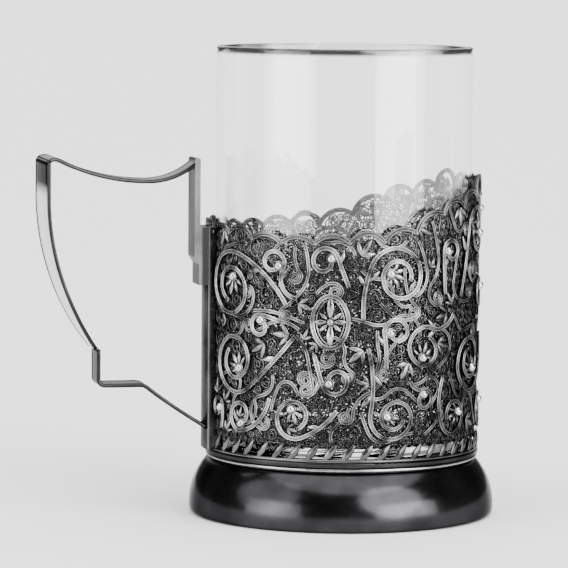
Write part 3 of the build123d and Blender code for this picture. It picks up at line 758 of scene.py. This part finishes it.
# Painted shade darkens the filling towards the crest side and low down.
fill_silver = silver("fine_wire_silver", (0.31, 0.31, 0.315), 0.24, 2200.0, 0.15, (0.0351, 0.0357),
                     painted_shade_share=0.35)
shapes = [bmesh.new() for number in range(6)]
for size, angle, height in coils:
    number = min(int((angle - seam_half) / stave_angle), 5)
    drawing = bmesh.new()
    centre = Vector((0, height, 0))
    spoke = Matrix.Rotation(chance.uniform(0, 2 * math.pi), 3, "Z") @ Vector((1, 0, 0))
    if size > 0.0013 and chance.random() < 0.34:
        for lean in (-48, 0, 48):
            length = size * (1.9 if lean == 0 else 1.5)
            leaf_blade(drawing, centre - spoke * size * 0.9, spoke, lean / leaf_lean, length)
    else:
        sense = chance.choice((-1, 1))
        radius = size - 0.0002
        place = centre + spoke * radius
        heading = Vector((-spoke.y, spoke.x, 0)) * sense
        end = wire_end(drawing, place, heading, fine_wire)
        close_end(drawing, end)
        for share, turn in ((1.0, 1.7), (0.62, 1.0), (0.36, 1.0)):
            end, place, heading = arc_to(drawing, end, place, heading, radius * share, sense * turn * math.pi,
                                         radius * share * 0.55)
        close_end(drawing, end)
    add_bent(shapes[number], drawing, angle)
for number, shape in enumerate(shapes):
    filler = finish_piece(f"filling_front_{number + 1}", shape)
    filler.data.materials.append(fill_silver)
    for piece in (filler, mirrored_twin(filler, f"filling_back_{number + 1}")):
        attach(piece, "holder")

# Leaf border: slanted leaves soldered side by side on a plain strip, round the foot of the
# wall from one edge of the seam strip to the other.
border_leaves = 46
first_leaf = 12.2
shape = bmesh.new()
for number in range(border_leaves):
    angle = first_leaf + number * (360 - 2 * first_leaf) / (border_leaves - 1)
    slant = Matrix.Rotation(math.radians(52), 3, "Z") @ Vector((1, 0, 0))
    blade = bmesh.new()
    leaf_blade(blade, Vector((-0.00185, 0.0177, 0)), slant, 0, 0.0058)
    add_bent(shape, blade, angle)
seam_edge = Matrix.Rotation(math.radians(seam_half), 3, "Z") @ Vector((-1, 0, 0))
strip_edge = [
    shape.verts.new(seam_edge * radius + Vector((0, 0, height)))
    for radius, height in (
        (0.0349, 0.0176), (0.0358, 0.0176), (0.03595, 0.01785), (0.0358, 0.0184), (0.0349, 0.0185)
    )
]
strip_lines = [shape.edges.new(pair) for pair in zip(strip_edge, strip_edge[1:] + strip_edge[:1])]
bmesh.ops.spin(shape, geom=strip_edge + strip_lines, cent=(0, 0, 0), axis=(0, 0, 1), dvec=(0, 0, 0),
               angle=math.radians(360 - 2 * seam_half), steps=150, use_duplicate=False)
border = finish_piece("leaf_row", shape)
# Painted shade darkens the leaf row towards the crest side and low down.
border_silver = silver("rubbed_leaf_silver", (0.17, 0.17, 0.17), 0.16, 1500.0, 0.4, (0.0353, 0.0360),
                       painted_shade_share=0.5)
border.data.materials.append(border_silver)
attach(border, "holder")
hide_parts("leaf_border")

# Crown: the same wires bent into low arches along the top of the wall, climbing to the crest,
# with a small grain where two arches meet and a row of finer grains over each.
crown_wires = (
    (0.0, 0.00050, 0.00050, 0.03535, 4),
    (0.00036, 0.00030, 0.00030, 0.03585, 8),
    (-0.00036, 0.00030, 0.00030, 0.03585, 8),
    (0.0, 0.00030, 0.00030, 0.03480, 6),
)
shape = bmesh.new()
for lobe in range(12):
    middle = seam_half + (lobe + 0.5) * lobe_angle
    ends = []
    levels = (valley_shares[lobe], peak_shares[lobe], valley_shares[lobe + 1])
    for share, level in zip((-0.5, 0.0, 0.5), levels):
        height = 1000 * (crown_low + crown_rise * level) - 0.65
        place = flat_place(middle + share * lobe_angle, height, middle)
        ends.append(place)
    left, top, right = ends
    corner_angle = (left - top).angle(right - top)
    turn = 2 * (math.pi - corner_angle)
    radius = (right - left).length / (2 * math.sin(corner_angle))
    heading = Matrix.Rotation(turn / 2, 3, "Z") @ (right - left).normalized()
    drawing = bmesh.new()
    start = wire_end(drawing, left, heading, crown_wires)
    close_end(drawing, start)
    end, place, heading = arc_to(drawing, start, left, heading, radius, -turn, scroll_step)
    close_end(drawing, end)
    grains_here = [(left, 0.0007)]
    hub = left + Matrix.Rotation(turn / 2 - math.pi / 2, 3, "Z") @ (right - left).normalized() * radius
    for step in range(1, 6):
        out = Matrix.Rotation(-turn * step / 6, 3, "Z") @ (left - hub)
        grains_here.append((hub + out * (1 + 0.0002 / radius), 0.0004))
    for spot, size in grains_here:
        ball = bmesh.ops.create_icosphere(drawing, subdivisions=2, radius=size)["verts"]
        bmesh.ops.translate(drawing, verts=ball, vec=Vector((spot.x, spot.y, 0.0357)))
    add_bent(shape, drawing, middle)
bmesh.ops.mirror(shape, geom=list(shape.verts) + list(shape.edges) + list(shape.faces), axis="Y")
crown = finish_piece("crown_arches", shape)
# Painted shade darkens the crown towards the crest side and low down.
crown_silver = silver("crown_wire_silver", (0.19, 0.19, 0.195), 0.20, 1800.0, 0.3, (0.0350, 0.0362),
                      painted_shade_share=0.5)
crown.data.materials.append(crown_silver)
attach(crown, "holder")
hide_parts("crown_edge")

# Grains: small silver balls melted on to the eye of each scroll. They stand out furthest from
# the wall, so hands have rubbed them bright.
shape = bmesh.new()
for middle, place in scroll_eyes:
    ball = bmesh.new()
    bmesh.ops.create_icosphere(ball, subdivisions=3, radius=0.00115,
                               matrix=Matrix.Translation((place.x, place.y, 0.0359)))
    add_bent(shape, ball, middle)
grains = finish_piece("grains_front", shape)
bright_silver = silver("bright_rubbed_silver", (0.55, 0.55, 0.55), 0.16, 1400.0, 0.7)
grains.data.materials.append(bright_silver)
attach(grains, "holder")
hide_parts("granules_front")
grains_twin = mirrored_twin(grains, "grains_back")
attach(grains_twin, "holder")
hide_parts("granules_back")

# Seam strip and post: the strip is a plain dull bar that closes the wall under the handle. The
# post is a polished bar soldered to its upper part, and carries the thumb rest.
post_silver = silver("polished_post_silver", (0.23, 0.23, 0.235), 0.18, 700.0, 0.45,
                     worn=(0.0385, 0.0393), edge=0.3)
# The seam strip is painted near black above a height, as painted shade.
seam_silver = silver("dull_seam_silver", (0.14, 0.14, 0.145), 0.24, 700.0, 0.4,
                     painted_shade_heights=(0.058, 0.064), edge=0.3)
for name, finish in (("seam_strip", seam_silver), ("handle_post", post_silver)):
    nodes[name].data.materials.clear()
    nodes[name].data.materials.append(finish)

# Handle straps: flat bands bent in the handle's plane, each with a raised wire along both edges.
# They are drawn lying down, with x as the reach from the axis, y up and z across the strap.
narrow_half = 0.0045
corner_half = 0.0102
edge_width = 0.0009
flare_start = 0.0391
flare_end = 0.0809
taper_top = 0.0608
taper_foot = 0.0435
taper_limit = 0.0175
band_runs = ((0.0, narrow_half - edge_width, 0.00045, 0.35),)
edge_runs = (
    (narrow_half - edge_width / 2, edge_width / 2, 0.00050, 0.8),
    (edge_width / 2 - narrow_half, edge_width / 2, 0.00050, 0.8),
)


def strap_end(shape, place, heading, runs):
    """The cut end of a strap: middle, half width, half thickness and roundness of each run in it."""
    normal = Vector((-heading.y, heading.x, 0))
    geometry = []
    for middle, half_width, half_thickness, roundness in runs:
        ring = bmesh.ops.create_circle(shape, segments=20, radius=1.0)["verts"]
        for vert in ring:
            flat = math.copysign(abs(vert.co.x) ** roundness, vert.co.x) * half_width + middle
            thick = math.copysign(abs(vert.co.y) ** roundness, vert.co.y) * half_thickness
            vert.co = place + normal * thick + Vector((0, 0, flat))
        geometry += ring + list({edge for vert in ring for edge in vert.link_edges})
    return geometry


def bent_strap(name, start, heading, legs, runs, half_width_at):
    """Runs of metal carried along lines and arcs, then spread to the strap's width."""
    shape = bmesh.new()
    place = Vector((*start, 0))
    end = strap_end(shape, place, heading, runs)
    close_end(shape, end)
    for radius, turn, length in legs:
        if radius:
            end, place, heading = arc_to(shape, end, place, heading, radius, turn, 0.0008)
        else:
            steps = math.ceil(length / 0.001)
            end = bmesh.ops.spin(shape, geom=end, cent=(0, 0, 0), axis=(0, 0, 1),
                                 dvec=heading * length / steps, angle=0, steps=steps,
                                 use_duplicate=False)["geom_last"]
            place = place + heading * length
    close_end(shape, end)
    inner_half = narrow_half - edge_width
    for vert in shape.verts:
        half = half_width_at(vert.co)
        if abs(vert.co.z) > inner_half + 1e-6:
            vert.co.z += math.copysign(half - narrow_half, vert.co.z)
        else:
            vert.co.z *= (half - edge_width) / inner_half
        vert.co = (-vert.co.x, vert.co.z, vert.co.y)
    return finish_piece(name, shape)


def leaning_arc(start, heading, goal):
    """A leg that leaves start along heading and bends to the goal."""
    radius, turn = tangent_arc(Vector((*start, 0)), heading, Vector((*goal, 0)))
    return (radius, turn, 0)


def flare_radius(run):
    """The radius of the arc that opens a strap from its narrow to its corner half width over a run."""
    rise = corner_half - narrow_half
    return (run**2 + rise**2) / (2 * rise)


def rest_half_width(place):
    """Half the thumb rest's width, opening like a horn from the post."""
    reach = max(place.x - flare_start, 0)
    bend = flare_radius(flare_end - flare_start)
    return narrow_half + bend - math.sqrt(bend**2 - reach**2)


def outer_half_width(place):
    """Half the outer strap's width, drawn in towards the step."""
    drop = max(taper_top - place.y, 0)
    bend = flare_radius(taper_top - taper_foot)
    return corner_half - bend + math.sqrt(bend**2 - min(drop, taper_limit) ** 2)


def lower_half_width(place):
    """Half the lower strap's width, the same all along."""
    return narrow_half


def turned_heading(heading, legs):
    """Where a run of legs points at its end."""
    return Matrix.Rotation(sum(turn for radius, turn, length in legs), 3, "Z") @ heading


to_left = Vector((-1, 0, 0))
to_right = Vector((1, 0, 0))
downwards = Vector((0, -1, 0))
rest_low = (0.0525, 0.0877)
shoulder = (0.0767, 0.0935)
rest_inner_leg = leaning_arc(rest_low, to_left, (0.03985, 0.0926))
rest_outer_leg = leaning_arc(rest_low, to_right, shoulder)
rest_start_heading = -turned_heading(to_left, [rest_inner_leg])
rest_legs = [(rest_inner_leg[0], -rest_inner_leg[1], 0), rest_outer_leg, (0.0024, math.radians(-75), 0)]
outer_legs = [(0, 0, 0.0090), leaning_arc((0.07955, 0.0840), downwards, (0.0665, 0.0446))]
arm_turn = math.radians(38)
arm_bend = 0.0030
arm_start = (0.0546 - arm_bend * math.sin(arm_turn), 0.0348 - arm_bend * (1 - math.cos(arm_turn)))
arm_heading = Matrix.Rotation(arm_turn, 3, "Z") @ to_left
lower_legs = [(0, 0, 0.0079), (0.0016, math.radians(-90), 0), (0, 0, 0.0094), (arm_bend, arm_turn, 0),
              leaning_arc(arm_start, arm_heading, (0.0370, 0.0234))]
rest_silver = silver("thumbed_silver", (0.30, 0.30, 0.305), 0.20, 900.0, 0.6, edge=0.4)
# The outer strap is painted near black at its top, as painted shade.
tongue_silver = silver("bright_tongue_silver", (0.66, 0.66, 0.67), 0.17, 1100.0, 0.75,
                       painted_shade_heights=(0.0835, 0.0880), edge=0.9)
arm_silver = silver("dull_arm_silver", (0.24, 0.24, 0.245), 0.20, 1100.0, 0.5, edge=0.3)
# The edge wires are painted near black, as painted shade along the straps' edges.
edge_silver = silver("dark_edge_silver", (0.030, 0.030, 0.031), 0.18, 1500.0, 0.6, edge=0.2)
straps = (
    ("thumb_rest", (0.03985, 0.0926), rest_start_heading, rest_legs, rest_half_width, rest_silver),
    ("outer_strap", (0.07955, 0.0930), downwards, outer_legs, outer_half_width, tongue_silver),
    ("lower_strap", (0.0656, 0.0443), downwards, lower_legs, lower_half_width, arm_silver),
)
for name, start, heading, legs, half_width_at, finish in straps:
    band = bent_strap(name + "_band", start, heading, legs, band_runs, half_width_at)
    band.data.materials.append(finish)
    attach(band, "holder")
    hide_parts(name)
    edges = bent_strap(name + "_edge_wires", start, heading, legs, edge_runs, half_width_at)
    edges.data.materials.append(edge_silver)
    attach(edges, "holder")
    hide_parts(name + "_edging")

# Tea glass: a straight thin tumbler with a heavy flat base and a fire-rounded rim. It is loose,
# stands on the floor disc, and has dark and pale streaks painted round its rim as a painted
# reflection of the room.
glass_profile = (
    (0.0, 0.0163), (0.0290, 0.0163), (0.0310, 0.0165), (0.0328, 0.0178), (0.0335, 0.0200),
    (0.0335, 0.0300), (0.0335, 0.1200), (0.0335, 0.1219), (0.0334, 0.1224), (0.03285, 0.12255),
    (0.0323, 0.1224), (0.0322, 0.1219), (0.0322, 0.1200), (0.0322, 0.0300), (0.0322, 0.0230),
    (0.0316, 0.0214), (0.0300, 0.0208), (0.0290, 0.0208), (0.0, 0.0208),
)
clear_glass = bpy.data.materials.new("clear_tumbler_glass")
clear_glass.use_nodes = True
glass_tree = clear_glass.node_tree
glass_shader = glass_tree.nodes["Principled BSDF"]
glass_place = glass_tree.nodes.new("ShaderNodeTexCoord")
glass_parts = glass_tree.nodes.new("ShaderNodeSeparateXYZ")
glass_tree.links.new(glass_place.outputs["Object"], glass_parts.inputs["Vector"])
rim_band = glass_tree.nodes.new("ShaderNodeMapRange")
rim_band.interpolation_type = "SMOOTHSTEP"
rim_band.inputs["From Min"].default_value = 0.1204
rim_band.inputs["From Max"].default_value = 0.1214
glass_tree.links.new(glass_parts.outputs["Z"], rim_band.inputs["Value"])
# Painted reflection: dark and pale streaks tinted into the glass at its rim.
painted_reflection_streaks = glass_tree.nodes.new("ShaderNodeTexNoise")
painted_reflection_streaks.inputs["Scale"].default_value = 38.0
painted_reflection_streaks.inputs["Detail"].default_value = 2.0
glass_tree.links.new(glass_place.outputs["Object"], painted_reflection_streaks.inputs["Vector"])
painted_reflection_tone = glass_tree.nodes.new("ShaderNodeValToRGB")
painted_reflection_tone.color_ramp.elements[0].position = 0.46
painted_reflection_tone.color_ramp.elements[0].color = (0.03, 0.03, 0.03, 1)
painted_reflection_tone.color_ramp.elements[1].position = 0.58
painted_reflection_tone.color_ramp.elements[1].color = (0.70, 0.70, 0.70, 1)
glass_tree.links.new(painted_reflection_streaks.outputs["Fac"], painted_reflection_tone.inputs["Fac"])
glass_mix = glass_tree.nodes.new("ShaderNodeMix")
glass_mix.data_type = "RGBA"
glass_mix.inputs["A"].default_value = (0.985, 0.995, 0.99, 1)
glass_tree.links.new(rim_band.outputs["Result"], glass_mix.inputs["Factor"])
glass_tree.links.new(painted_reflection_tone.outputs["Color"], glass_mix.inputs["B"])
glass_tree.links.new(glass_mix.outputs["Result"], glass_shader.inputs["Base Color"])
glass_shader.inputs["Roughness"].default_value = 0.01
glass_shader.inputs["IOR"].default_value = 1.46
glass_shader.inputs["Transmission Weight"].default_value = 1.0
tumbler = turned("tumbler", glass_profile, 128, closed=False)
tumbler.data.materials.append(clear_glass)
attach(tumbler, "glass")
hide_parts("glass")
